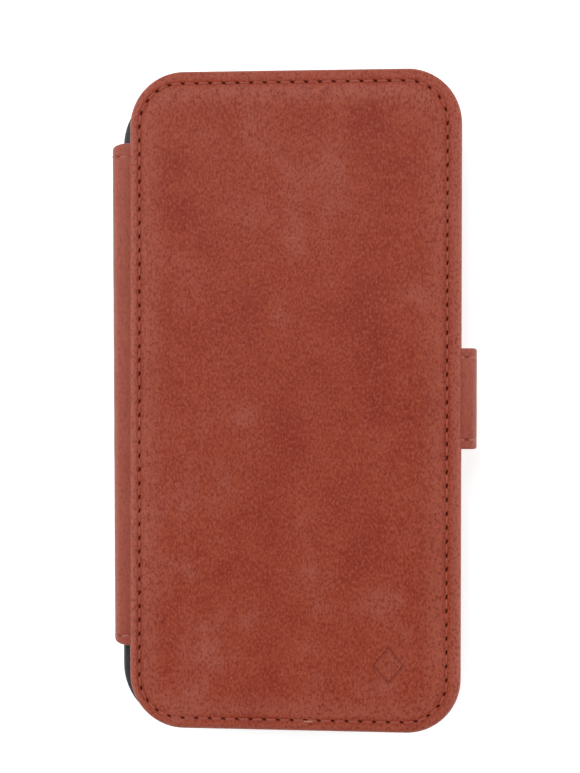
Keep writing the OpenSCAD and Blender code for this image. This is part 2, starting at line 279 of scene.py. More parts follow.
def threads(name, middles, sides, ups, material, raw=None):
    """Stitches as two-ply threads. middles, sides and ups are stitches x stations x 3: the thread's
    middle, and the directions across it and away from the leather. raw is 1 for a stitch with pale,
    unrubbed thread."""
    middles, sides, ups = (np.asarray(a, float) for a in (middles, sides, ups))
    if not all(np.isfinite(a).all() for a in (middles, sides, ups)):
        raise ValueError(name + " has a stitch that runs off the end of its path")
    count, stations = middles.shape[:2]
    around = 10
    turn = np.arange(around) / around * 2 * math.pi
    step = np.linalg.norm(np.diff(middles, axis=1), axis=2)
    run = np.concatenate([np.zeros((count, 1)), np.cumsum(step, 1)], 1)
    share = run / run[:, -1:]
    taper = np.clip(np.sin(np.pi * np.clip(share, 0.02, 0.98)), 0, 1) ** 0.35
    ply = 1 + PLY_DEPTH * np.cos(2 * (turn[None, None, :] - 2 * math.pi * run[:, :, None] / THREAD_PLY))
    wide = THREAD_HALF[0] * taper[:, :, None] * ply * np.cos(turn)
    high = THREAD_HALF[1] * taper[:, :, None] * ply * np.sin(turn)
    skin = (
        middles[:, :, None, :]
        + sides[:, :, None, :] * wide[..., None]
        + ups[:, :, None, :] * high[..., None]
    )
    faces = []
    rings = loft_faces(stations, around)
    for k in range(count):
        base = k * stations * around
        faces += [[base + v for v in quad] for quad in rings]
        faces.append([base + v for v in range(around)][::-1])
        faces.append([base + (stations - 1) * around + v for v in range(around)])
    marks = {} if raw is None else {"raw": np.repeat(raw, stations * around)}
    return make(name, skin.reshape(-1, 3), faces, material, marks)


def joined(parts):
    """Several seams' stitches as one set of middles, sides and ups."""
    return [np.concatenate(column) for column in zip(*parts)]


def stitch_places(length, pitch):
    """Lengths along a seam at the stations of each of its stitches, and the number of stitches."""
    count = max(1, round(length / pitch))
    real = length / count
    share = 0.5 - 0.5 * np.cos(np.linspace(0, math.pi, 9))
    return np.arange(count)[:, None] * real + THREAD_DIP + share * (real - 2 * THREAD_DIP), count


def thread_lift(stations):
    """Height of a stitch's thread along its length: its ends dive into the needle holes."""
    share = 0.5 - 0.5 * np.cos(np.linspace(0, math.pi, stations))
    return THREAD_ARCH * np.clip(np.sin(np.pi * share), 0, 1) ** 0.5 - THREAD_SINK


# ==== measures of the front cover ====

COVER_R = 12.8
SEAM_R = 9.7
OUTLINE = Rect.of_node("cover_leather", COVER_R)
SEAM = Rect.of_node("cover_stitching", SEAM_R + THREAD_W / 2).inset(THREAD_W / 2)
COVER_LOW, COVER_HIGH = box_mm("cover_leather")
COVER_X, COVER_Y = (COVER_LOW[:2] + COVER_HIGH[:2]) / 2
SEAM_STITCHES = 2 * round(SEAM.length() / STITCH / 2)
SEAM_PITCH = SEAM.length() / SEAM_STITCHES
PER_STITCH = 12
SKIN_POINTS = SEAM_STITCHES * PER_STITCH
SKIN_STEP = SEAM.length() / SKIN_POINTS
SKIN_PLACE = SEAM.place(np.arange(SKIN_POINTS) * SKIN_STEP)
PHASE = (np.arange(SKIN_POINTS) % PER_STITCH) * SKIN_STEP  # distance past the last needle hole

RIM_DROP = 0.52  # the sewn rim lies this far below the crown
END_HIGHLIGHT = 0.58  # how strong the rim's painted highlight is at the cover's top and bottom, as a share of its sides
RIM_ROUND = (1.45, 1.35)  # width and height of the rim's rounding
RIM_Z = COVER_HIGH[2] - RIM_DROP
FOAM_INSET = 3.4  # from the cover's outline to the foam's
LINING_INSET = 1.0
SKIN_GAP = 0.02  # clearance of the hide around the foam
HEM_GAP = 0.04  # clearance of the turned hem around the lining
HEM_BEVEL, HEM_ROUND = 0.12, 0.4
# distances inward from the seam at which the hide has a ring: near the seam, then beyond it
SEAM_RINGS = (-0.62, -0.48, -0.36, -0.26, -0.17, -0.08, 0.0, 0.08, 0.17, 0.26, 0.36, 0.48, 0.62)
SHOULDER_RINGS = (0.8, 1.0, 1.3, 1.6, 2.0, 2.5, 3.0, 3.6, 4.3, 5.1, 6.0, 7.0)
PUCKER = 0.035 * np.cos(2 * math.pi * PHASE / SEAM_PITCH)  # how deep each point is drawn in by its hole
FACE_WAVES = ((0.035, 13, 3.0), (0.02, 5, 8.0))  # height, size and seed of the padded face's waves
SHOULDER = 4.6  # width over which the padding rises
SHOULDER_RISE = 0.42
BACKTACK_AT = (COVER_X + 4.2, SEAM.y0)  # the stitch nearest to this place is sewn over once more
BACKTACK_SHIFT = (-0.9, -0.2, 0.26)
MARK_AT = (22.3, -61.7)  # the pressed rhombus, from the cover's centre
MARK_HALF = (3.4, 4.2)
MARK_LINE, MARK_DEPTH = 0.4, 0.25


# ==== materials ====


class Shader:
    """A material under construction: its node tree, its main shader and the object's coordinates."""

    def __init__(self, name):
        self.material = bpy.data.materials.new(name)
        self.material.use_nodes = True
        self.tree = self.material.node_tree
        self.main = self.tree.nodes["Principled BSDF"]
        self.place = self.add("ShaderNodeTexCoord").outputs["Object"]

    def add(self, kind, settings=None, **inputs):
        """A new node. An input is a number, a colour, or an output to link, named with _ for a space."""
        node = self.tree.nodes.new(kind)
        for key, value in (settings or {}).items():
            setattr(node, key, value)
        for key, value in inputs.items():
            socket = node.inputs[int(key[1:])] if key[1:].isdigit() else node.inputs[key.replace("_", " ")]
            self.feed(socket, value)
        return node

    def feed(self, socket, value):
        if isinstance(value, bpy.types.NodeSocket):
            self.tree.links.new(value, socket)
        else:
            socket.default_value = value

    def set(self, **inputs):
        for key, value in inputs.items():
            self.feed(self.main.inputs[key.replace("_", " ")], value)

    def maths(self, operation, a, b=0.0):
        return self.add("ShaderNodeMath", {"operation": operation}, i0=a, i1=b).outputs[0]

    def fit(self, value, low, high, to_low=0.0, to_high=1.0):
        found = self.add(
            "ShaderNodeMapRange", {"interpolation_type": "SMOOTHSTEP"},
            Value=value, From_Min=low, From_Max=high, To_Min=to_low, To_Max=to_high,
        )
        return found.outputs[0]

    def noise(self, place, size, detail=2.0, rough=0.5, twist=0.0):
        """Noise with features of the given size in millimetres."""
        return self.add(
            "ShaderNodeTexNoise", None,
            Vector=place, Scale=1 / (size * MM), Detail=detail, Roughness=rough, Distortion=twist,
        )

    def cells(self, place, size, feature):
        return self.add(
            "ShaderNodeTexVoronoi", {"feature": feature}, Vector=place, Scale=1 / (size * MM)
        ).outputs["Distance"]

    def stretched(self, place, scale):
        return self.add("ShaderNodeMapping", None, Vector=place, Scale=scale).outputs[0]

    def shifted(self, place, other, amount):
        """place moved about by a noise's colour, by up to about half of amount millimetres."""
        centred = self.add(
            "ShaderNodeVectorMath", {"operation": "SUBTRACT"}, i0=other, i1=(0.5, 0.5, 0.5)
        ).outputs[0]
        small = self.add(
            "ShaderNodeVectorMath", {"operation": "SCALE"}, i0=centred, Scale=amount * MM
        ).outputs[0]
        return self.add("ShaderNodeVectorMath", {"operation": "ADD"}, i0=place, i1=small).outputs[0]

    def mix(self, share, a, b):
        node = self.add("ShaderNodeMix", {"data_type": "RGBA"})
        self.feed(node.inputs[0], share)
        self.feed(node.inputs[6], a)
        self.feed(node.inputs[7], b)
        return node.outputs[2]

    def mark(self, name):
        """A value that the mesh carries, which is 0 where it has none."""
        return self.add(
            "ShaderNodeAttribute", {"attribute_type": "GEOMETRY", "attribute_name": name}
        ).outputs["Fac"]

    def bump(self, height, depth, strength=1.0, under=None):
        node = self.add("ShaderNodeBump", None, Height=height, Distance=depth * MM, Strength=strength)
        if under is not None:
            self.feed(node.inputs["Normal"], under)
        return node.outputs[0]


def leather(
    name, light, mid, dark, cloud=1.0, grain=1.0, rough=0.5, sheen=0.03, specular=0.24, mark=False
):
    """Grained leather: cloudy colour, pores and fine pebbles, and a rhombus pressed in if asked for."""
    s = Shader(name)
    warp = s.noise(s.place, 18, 2).outputs["Color"]
    cloudy = s.shifted(s.place, warp, 9)
    clouds = s.noise(cloudy, 12, 4, 0.6).outputs["Fac"]
    smears = s.noise(s.stretched(cloudy, (1.0, 0.4, 1.0)), 15, 3, 0.55, 0.4).outputs["Fac"]
    blend = s.maths("ADD", s.maths("MULTIPLY", clouds, 0.5), s.maths("MULTIPLY", smears, 0.5))
    tone = s.mix(s.fit(blend, 0.5 - 0.16 / cloud, 0.52), linear(dark), linear(mid))
    tone = s.mix(s.fit(blend, 0.5, 0.5 + 0.18 / cloud), tone, linear(light))

    wander = s.shifted(s.place, s.noise(s.place, 1.6, 2).outputs["Color"], 0.5)
    long = s.stretched(wander, (1.0, 0.6, 1.0))
    pebbles = s.cells(wander, 0.75, "DISTANCE_TO_EDGE")
    pits = s.cells(long, 0.56, "F1")
    patch = s.fit(s.noise(s.place, 3.2, 2).outputs["Fac"], 0.38, 0.62, 0.3, 1.0)
    pore = s.maths("MULTIPLY", s.fit(pits, 0.14, 0.56, 1, 0), patch)
    fine = s.noise(long, 0.5, 1.5, 0.7).outputs["Fac"]
    deep = linear(PORE_COLOUR)
    # painted highlight on rims, shoulders and edges, with some edge wear
    tone = s.mix(s.maths("MULTIPLY", s.mark("wear"), 0.85), tone, linear(HIGHLIGHT_AND_WEAR_COLOUR))
    # painted greyish sheen at the straps' outer bends
    tone = s.mix(s.mark("fold"), tone, linear(FOLD_SHEEN_COLOUR))
    tone = s.mix(s.fit(fine, 0.3, 0.52, 0.66 * grain, 0), tone, deep)
    tone = s.mix(s.fit(pebbles, 0.0, 0.14, 0.12 * grain, 0), tone, deep)
    tone = s.mix(s.maths("MULTIPLY", pore, 0.55 * grain), tone, deep)
    tone = s.mix(s.fit(fine, 0.5, 0.7, 0, 0.6 * grain), tone, linear(light))

    coarse = s.bump(s.fit(pebbles, 0.0, 0.3), 0.03, 0.5 * grain)
    fibres = s.bump(fine, 0.06, 0.55 * grain, coarse)
    normal = s.bump(s.maths("MULTIPLY", pore, -1.0), 0.05, 0.5 * grain, fibres)
    if mark:
        pressed = pressed_rhombus(s)
        tone = s.mix(s.maths("MULTIPLY", pressed, 0.35), tone, deep)
        normal = s.bump(s.maths("MULTIPLY", pressed, -1.0), MARK_DEPTH, 1.0, normal)
    # painted shade in the needle holes
    tone = s.mix(s.mark("hole"), tone, linear(HOLE_SHADE_COLOUR))
    shine = s.fit(s.noise(s.place, 6, 3).outputs["Fac"], 0.3, 0.7, rough - 0.05, rough + 0.08)
    s.set(
        Base_Color=tone,
        Roughness=s.maths("MAXIMUM", shine, s.mark("hole")),
        Normal=normal,
        Specular_IOR_Level=specular,
        Sheen_Weight=sheen,
        Sheen_Roughness=0.4,
    )
    return s.material


def pressed_rhombus(s):
    """1 on the outline of a plain rhombus pressed into the cover, and 0 away from it."""
    axes = s.add("ShaderNodeSeparateXYZ", None, Vector=s.place).outputs
    centre = (COVER_X + MARK_AT[0], COVER_Y + MARK_AT[1])
    spread = [
        s.maths("DIVIDE", s.maths("ABSOLUTE", s.maths("SUBTRACT", axis, at * MM)), half * MM)
        for axis, at, half in zip(axes, centre, MARK_HALF)
    ]
    slope = math.hypot(1 / MARK_HALF[0], 1 / MARK_HALF[1])
    out = s.maths("ABSOLUTE", s.maths("SUBTRACT", s.maths("ADD", *spread), 1.0))
    return s.fit(out, 0.3 * MARK_LINE * slope, 1.4 * MARK_LINE * slope, 1, 0)


def thread_material(name, dark, light, rubbed):
    """Waxed polyester thread in a colour near the leather's."""
    s = Shader(name)
    fibres = s.noise(s.stretched(s.place, (1.0, 1.0, 3.0)), 0.16, 3, 0.6).outputs["Fac"]
    lit_and_worn = s.noise(s.place, 5, 2).outputs["Fac"]
    tone = s.mix(s.fit(fibres, 0.3, 0.7), linear(dark), linear(light))
    tone = s.mix(s.fit(lit_and_worn, 0.45, 0.7, 0, 0.35), tone, linear(rubbed))
    tone = s.mix(s.mark("raw"), tone, linear(RAW_THREAD))
    s.set(
        Base_Color=tone,
        Roughness=s.fit(fibres, 0.2, 0.8, 0.5, 0.75),
        Normal=s.bump(fibres, 0.03, 0.6),
        Sheen_Weight=0.25,
        Specular_IOR_Level=0.35,
    )
    return s.material


def moulded(name, colour, rough, streak=(1.0, 1.0, 1.0), grit=0.35):
    """Moulded plastic with a fine eroded texture and slight polish where it is handled."""
    s = Shader(name)
    speck = s.noise(s.stretched(s.place, streak), grit, 3, 0.6).outputs["Fac"]
    rubbed = s.noise(s.place, 14, 3).outputs["Fac"]
    dark = linear(tuple(c * 0.86 for c in colour))
    tone = s.mix(s.fit(speck, 0.35, 0.65), dark, linear(colour))
    tone = s.mix(s.fit(rubbed, 0.5, 0.75, 0, 0.25), tone, linear(tuple(min(255, c * 1.15) for c in colour)))
    s.set(
        Base_Color=tone,
        Roughness=s.fit(rubbed, 0.3, 0.7, rough + 0.06, rough - 0.06),
        Normal=s.bump(speck, 0.03, 0.5),
        Specular_IOR_Level=0.4,
    )
    return s.material


def microfibre():
    """Short napped lining cloth, brushed in patches."""
    s = Shader("microfibre_nap")
    fibres = s.noise(s.stretched(s.place, (1.0, 0.35, 1.0)), 0.3, 4, 0.7).outputs["Fac"]
    brushed = s.noise(s.place, 12, 3, 0.6, 0.5).outputs["Fac"]
    tone = s.mix(s.fit(fibres, 0.3, 0.7), linear((62, 61, 65)), linear((98, 97, 102)))
    tone = s.mix(s.fit(brushed, 0.45, 0.62, 0, 0.35), tone, linear((112, 111, 117)))
    s.set(
        Base_Color=tone,
        Roughness=0.95,
        Normal=s.bump(fibres, 0.08, 0.8),
        Sheen_Weight=0.5,
        Specular_IOR_Level=0.15,
    )
    return s.material


def brushed_metal(name, colour, along):
    s = Shader(name)
    lines = s.noise(s.stretched(s.place, along), 0.25, 3, 0.6).outputs["Fac"]
    s.set(
        Base_Color=s.mix(s.fit(lines, 0.3, 0.7), linear(tuple(c * 0.85 for c in colour)), linear(colour)),
        Metallic=1.0,
        Roughness=s.fit(lines, 0.2, 0.8, 0.28, 0.45),
        Normal=s.bump(lines, 0.01, 0.5),
    )
    return s.material


def sponge():
    """Closed-cell foam sheet."""
    s = Shader("foam_cells")
    bubbles = s.cells(s.place, 0.5, "F1")
    tone = s.mix(s.fit(bubbles, 0.0, 0.6), linear((196, 190, 172)), linear((226, 221, 205)))
    s.set(Base_Color=tone, Roughness=0.9, Normal=s.bump(bubbles, 0.15, 0.8), Specular_IOR_Level=0.2)
    return s.material


def fibre_board():
    """Bonded fibre board with flecks of leather in it."""
    s = Shader("board_fibres")
    flecks = s.noise(s.stretched(s.place, (1.0, 0.5, 1.0)), 0.9, 4, 0.7).outputs["Fac"]
    tone = s.mix(s.fit(flecks, 0.35, 0.65), linear((140, 108, 80)), linear((184, 154, 120)))
    s.set(Base_Color=tone, Roughness=0.85, Normal=s.bump(flecks, 0.06, 0.6), Specular_IOR_Level=0.2)
    return s.material


LEATHER = leather("cover_grain", LEATHER_LIGHT, LEATHER_MID, LEATHER_DARK, mark=True)
# the cover's leather painted lighter and greyer, standing in for the grazing sheen on the spine and tab
STRAP_LEATHER_PAINTED_SHEEN = leather(
    "strap_grain_painted_sheen", (165, 87, 71), (156, 77, 60), (146, 67, 51),
    cloud=0.7, grain=0.45, rough=0.46, sheen=0.5, specular=0.27,
)
BACK_LEATHER = leather("back_grain", LEATHER_LIGHT, LEATHER_MID, LEATHER_DARK)
LINING_LEATHER = leather(
    "lining_grain", (134, 58, 38), (124, 50, 30), (112, 40, 24), cloud=0.6, grain=0.35, rough=0.6
)
POCKET_LEATHER = leather(
    "pocket_grain", (146, 62, 42), (136, 54, 32), (122, 43, 24), cloud=0.8, grain=0.6, rough=0.55
)
THREAD = thread_material("sewing_thread", (138, 52, 32), (160, 74, 52), (168, 84, 62))
STRAP_THREAD = thread_material("strap_thread", (156, 88, 72), (178, 108, 90), (182, 114, 98))
NAP = microfibre()
SHELL = moulded("shell_grain", (50, 48, 51), 0.5, (1.0, 0.12, 1.0), 0.5)
BUTTON = moulded("button_grain", (40, 39, 42), 0.42)
SURROUND = moulded("surround_gloss", (30, 30, 32), 0.3, grit=0.8)
STEEL = brushed_metal("keeper_steel", (176, 178, 182), (1.0, 0.08, 1.0))
NICKEL = brushed_metal("magnet_nickel", (190, 188, 182), (0.1, 0.1, 1.0))
FOAM = sponge()
BOARD = fibre_board()


def dress(node, material):
    """Gives a CAD node its material."""
    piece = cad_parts[node]
    piece.data.materials.clear()
    piece.data.materials.append(material)


for node, look in (
    ("phone_shell", SHELL),
    ("camera_surround", SURROUND),
    ("volume_up_button", BUTTON),
    ("volume_down_button", BUTTON),
    ("side_button", BUTTON),
    ("keeper_plate", STEEL),
    ("tab_magnet", NICKEL),
    ("cover_foam", FOAM),
    ("cover_board", BOARD),
):
    dress(node, look)


# ==== front cover ====


def crown(x, y, inward):
    """Height of the padded face, at a distance inward from the seam."""
    rise = 1 - (1 - np.clip((inward - 0.5) / SHOULDER, 0, 1)) ** 2.3
    dome = ease(inward / 30)
    z = RIM_Z + SHOULDER_RISE * rise + (RIM_DROP - SHOULDER_RISE) * dome
    points = np.column_stack([x, y, np.zeros(len(x))])
    waves = sum(height * fine_noise(points, size, seed) for height, size, seed in FACE_WAVES)
    return z + (waves - 0.04) * ease(inward / 6)


def rim_highlight():
    """How strong the rim's painted highlight is at each point around it: less at the cover's top and
    bottom.
    """
    here = SEAM.points(SKIN_PLACE)
    ahead = np.roll(here, -1, axis=0) - np.roll(here, 1, axis=0)
    upright = ahead[:, 1] ** 2 / (ahead**2).sum(1)
    return END_HIGHLIGHT + (1 - END_HIGHLIGHT) * upright


def skin_inside(rings):
    """The hide's inner face around the foam and the board, and its hem turned in to the lining."""
    low = COVER_LOW[2]
    foam = Rect.of_node("cover_foam", COVER_R - FOAM_INSET).inset(-SKIN_GAP)
    foam_top = box_mm("cover_foam")[1][2] + SKIN_GAP
    board_low = box_mm("cover_board")[0][2] - SKIN_GAP / 2
    inner = foam.points(SKIN_PLACE)
    middle = foam.spine_points(inner)
    for share in (0.97, 0.8, 0.6, 0.4, 0.2, 0.05):
        rings.add(inner + share * (middle - inner), foam_top)
    rings.add(inner, foam_top)
    rings.add(inner, board_low)
    hem = Rect.of_node("cover_lining", COVER_R - LINING_INSET).inset(-HEM_GAP)
    rings.add(hem.points(SKIN_PLACE), board_low)
    rings.add(hem.points(SKIN_PLACE), low + HEM_BEVEL)
    rings.add(hem.inset(-HEM_BEVEL).points(SKIN_PLACE), low)
    for turn in np.linspace(0, math.pi / 2, 4):
        edge = OUTLINE.inset(HEM_ROUND * (1 - math.sin(turn)))
        rings.add(edge.points(SKIN_PLACE), low + HEM_ROUND * (1 - math.cos(turn)))


def skin_edge(rings):
    """The rounded edge and the flat rim up to the seam."""
    lit_and_worn = rim_highlight()
    # the rounded rim gets a painted highlight, fading across the flat rim towards the seam
    for turn in np.linspace(0, math.pi / 2, 9)[:-1]:
        edge = OUTLINE.inset(RIM_ROUND[0] * (1 - math.cos(turn)))
        rings.add(edge.points(SKIN_PLACE), RIM_Z - RIM_ROUND[1] * (1 - math.sin(turn)), wear=lit_and_worn)
    outer = OUTLINE.inset(RIM_ROUND[0]).points(SKIN_PLACE)
    sewn = SEAM.inset(SEAM_RINGS[0]).points(SKIN_PLACE)
    for share in (0.0, 0.35, 0.7):
        rings.add(outer + share * (sewn - outer), RIM_Z, wear=(0.85 - 0.6 * share) * lit_and_worn)


def skin_seam(rings):
    """The seam's groove and needle holes, with the leather puckered between the holes."""
    from_hole = (PHASE + SEAM_PITCH / 2) % SEAM_PITCH - SEAM_PITCH / 2
    for across in SEAM_RINGS:
        hole = needle_mark(from_hole, across)
        pucker = PUCKER * math.exp(-((abs(across) - 0.6) / 0.3) ** 2)
        dip = GROOVE[1] * math.exp(-((across / GROOVE[0]) ** 2))
        xy = SEAM.inset(across).points(SKIN_PLACE)
        # the hole mark also carries the needle holes' painted shade
        rings.add(xy, RIM_Z - dip - pucker - HOLE_DEPTH * hole, hole=hole)


def skin_crown(rings):
    """The padded shoulder and the crowned face inside it."""
    for inward in SHOULDER_RINGS:
        xy = SEAM.inset(inward).points(SKIN_PLACE)
        fade = 1 - ease((inward - 0.6) / 2.2)
        # painted highlight on the padded shoulder just inside the seam, where the leather curves down to it
        lit_and_worn = 0.65 * ease(inward / 1.6) * (1 - ease((inward - 1.6) / 5.4))
        z = crown(xy[:, 0], xy[:, 1], np.full(SKIN_POINTS, inward))
        rings.add(xy, z - PUCKER * fade, wear=lit_and_worn)
    start = SEAM.inset(SHOULDER_RINGS[-1]).points(SKIN_PLACE)
    middle = SEAM.inset(SHOULDER_RINGS[-1]).spine_points(start)
    reach = np.linalg.norm(middle - start, axis=1)
    for share in np.append(np.arange(1, 26) / 26, 0.985):
        xy = start + share * (middle - start)
        rings.add(xy, crown(xy[:, 0], xy[:, 1], SHOULDER_RINGS[-1] + share * reach))


def cover_skin():
    """The cover's leather as one closed hide."""
    rings = Rings(SKIN_POINTS, "hole", "wear")
    skin_inside(rings)
    skin_edge(rings)
    skin_seam(rings)
    skin_crown(rings)
    return rings.capped("front_cover_leather", LEATHER)


def seam_run(z, up):
    """Middles, sides and ups of the cover's stitches on one face. z is a height, or heights from X."""
    runs, count = stitch_places(SEAM.length(), SEAM_PITCH)
    flat = runs.ravel()
    xy = SEAM.points(SEAM.place(flat))
    ahead = SEAM.points(SEAM.place(flat + TANGENT)) - SEAM.points(SEAM.place(flat - TANGENT))
    ahead /= np.linalg.norm(ahead, axis=1)[:, None]
    shape = runs.shape + (3,)
    lift = np.tile(thread_lift(runs.shape[1]), count) * up
    heights = z(xy[:, 0]) if callable(z) else z
    middles = np.column_stack([xy, heights + lift]).reshape(shape)
    sides = np.column_stack([ahead[:, 1], -ahead[:, 0], np.zeros(len(flat))]).reshape(shape)
    ups = np.tile([0.0, 0.0, float(up)], (len(flat), 1)).reshape(shape)
    return middles, sides, ups


def with_backtack(run):
    """The run with one more stitch over the bottom seam, where the sewing starts and ends."""
    middles, sides, ups = run
    gap = np.linalg.norm(middles[:, middles.shape[1] // 2, :2] - np.array(BACKTACK_AT), axis=1)
    k = int(gap.argmin())
    extra = (middles[k] + np.array(BACKTACK_SHIFT), sides[k], ups[k])
    return tuple(np.concatenate([a, b[None]]) for a, b in zip(run, extra))


PANELS = ("cash_pocket", "card_pocket_1", "card_pocket_2", "card_pocket_3")
PANEL_BOXES = [box_mm(node) for node in PANELS]
POCKET_R = COVER_R - 1.6


def inside_face(x):
    """Height of the cover's inside face, which steps down at each pocket's open edge."""
    z = np.full(np.shape(x), COVER_LOW[2])
    for low, _ in PANEL_BOXES:
        z = np.where(x > low[0], low[2], z)
    return z


PLATE_POINTS = 480  # around a sheet
PLATE_ROUND = 0.16
CREASE_AT, CREASE_WIDTH = 1.25, 0.16  # place and width of the crease along a pocket's edge


def plate(name, outline, z0, z1, material, crease=0.0, waves=0.0):
    """A closed sheet with rounded edges. Its lower face is the one that shows: it may carry a crease
    along its edge and slight waves."""
    rings = Rings(PLATE_POINTS, "wear")
    place = outline.place(np.arange(PLATE_POINTS) * outline.length() / PLATE_POINTS)
    inner = outline.inset(3.0)
    start = inner.points(place)
    middle = inner.spine_points(start)

    def under(xy, depth):
        wave = waves * fine_noise(raised(xy, 0.0), 11, 2.0) * ease(depth / 5)
        return z0 + wave + crease * math.exp(-(((depth - CREASE_AT) / CREASE_WIDTH) ** 2))

    for share in (0.985, 0.8, 0.6, 0.4, 0.2, 0.0):
        xy = start + share * (middle - start)
        rings.add(xy, under(xy, 3.0 + 9 * share))
    for depth in (2.2, 1.6, 1.42, 1.33, 1.25, 1.17, 1.08, 0.9, 0.5):
        xy = outline.inset(depth).points(place)
        rings.add(xy, under(xy, depth))
    for turn in np.linspace(0, math.pi, 7):
        if turn <= math.pi / 2:
            z = z0 + PLATE_ROUND * (1 - math.cos(turn))
        else:
            z = z1 - PLATE_ROUND * (1 + math.cos(turn))
        # the rounded edge gets the painted highlight and wear mark
        rings.add(outline.inset(PLATE_ROUND * (1 - math.sin(turn))).points(place), z, wear=1.0)
    for share in (0.0, 0.5, 0.985):
        rings.add(start + share * (middle - start), z1)
    return rings.capped(name, material)


def holed_plate(name, outline, hole, z0, z1, material, rounding=0.3, waves=0.0):
    """A closed sheet with a hole in it and rounded edges."""
    rings = Rings(PLATE_POINTS, "wear")
    place = outline.place(np.arange(PLATE_POINTS) * outline.length() / PLATE_POINTS)
    a, b = hole.points(place), outline.points(place)

    def face(z, shares):
        for share in shares:
            flat = a + share * (b - a)
            wave = waves * fine_noise(raised(flat, 0.0), 9, 5.0) * math.sin(math.pi * share)
            rings.add(flat, z + wave)

    def edge(rect, low, high, outward):
        for turn in np.linspace(0, math.pi, 7):
            inset = rounding * (1 - math.sin(turn)) * outward
            near = low if turn <= math.pi / 2 else high
            sign = 1 if turn <= math.pi / 2 else -1
            z = near + sign * outward * rounding * (1 - abs(math.cos(turn)))
            # the rounded edge gets the painted highlight and wear mark
            rings.add(rect.inset(inset).points(place), z, wear=0.9)

    face(z0, np.linspace(0.03, 0.97, 14))
    edge(outline, z0, z1, 1)
    face(z1, np.linspace(0.97, 0.03, 14))
    edge(hole, z1, z0, -1)
    return rings.looped(name, material)


# ==== straps: the spine and the tab ====


def eased_path(corners, spacing=0.3):
    """A smooth path in X and Z that follows a polygon, as points at an even spacing."""
    path = np.array(corners, float)
    for _ in range(5):
        cut = [path[0]]
        for a, b in zip(path[:-1], path[1:]):
            cut += [0.75 * a + 0.25 * b, 0.25 * a + 0.75 * b]
        path = np.array(cut + [path[-1]])
    run = np.concatenate([[0], np.cumsum(np.linalg.norm(np.diff(path, axis=0), axis=1))])
    even = np.linspace(0, run[-1], max(2, round(run[-1] / spacing)) + 1)
    return np.column_stack([np.interp(even, run, path[:, 0]), np.interp(even, run, path[:, 1])])


LEAN_WIDTH = 3.5  # width beyond the cover's left edge over which the spine's lean grows
STRAP_WAVE = 0.05  # depth of a strap's slight waves
STRAP_EDGE_HIGHLIGHT_AND_WEAR = (0.8, 1.6)  # how strong the painted highlight and wear on a strap's edges are, and the width over which that fades
